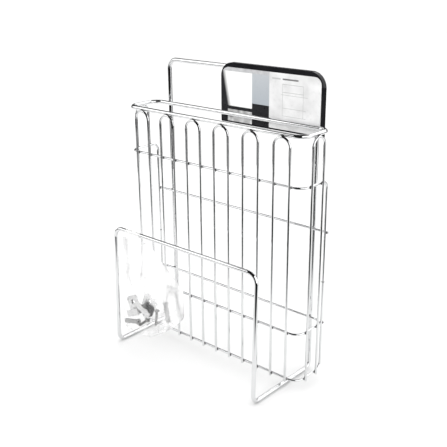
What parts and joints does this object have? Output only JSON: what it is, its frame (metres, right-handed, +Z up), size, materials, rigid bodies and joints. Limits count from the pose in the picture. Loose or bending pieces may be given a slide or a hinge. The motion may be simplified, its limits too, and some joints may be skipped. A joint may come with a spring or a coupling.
{
  "type": "magazine rack",
  "caption": "Tall narrow basket of bright wire on a looped wire floor stand with a low front hoop and a tall back hoop, with its header sleeve and bag of wall fixings.",
  "frame": {"origin": "on the floor, under the middle of the rack's box", "axes": "+Z up, +Y from the low front hoop to the tall back hoop, +X to the right seen from the front"},
  "size_m": [0.2816, 0.1152, 0.367],
  "materials": {
    "bright_wire": "polished",
    "bright_stand_wire": "polished",
    "sleeve_plastic": "gloss",
    "card_print": "satin",
    "bag_film": "gloss",
    "clear_tape": "gloss",
    "hook_steel": "polished",
    "screw_steel": "satin",
    "plug_plastic": "matte"
  },
  "bodies": {
    "root": {"bag_tape": "clear_tape", "fixings_bag": "bag_film", "front_hairpin_1": "bright_wire", "front_hairpin_2": "bright_wire", "front_hairpin_3": "bright_wire", "front_hairpin_4": "bright_wire", "front_hairpin_5": "bright_wire", "front_hairpin_6": "bright_wire", "header_card": "card_print", "header_sleeve": "sleeve_plastic", "lower_loop": "bright_wire", "middle_ring": "bright_wire", "rear_crossbar": "bright_wire", "rim_ring": "bright_stand_wire", "side_hairpin_left": "bright_wire", "side_hairpin_right": "bright_wire", "stand_wire": "bright_stand_wire", "upper_loop": "bright_wire", "wall_hook_1": "hook_steel", "wall_hook_2": "hook_steel", "wall_plugs": "plug_plastic", "wall_screws": "screw_steel"}
  },
  "joints": []
}
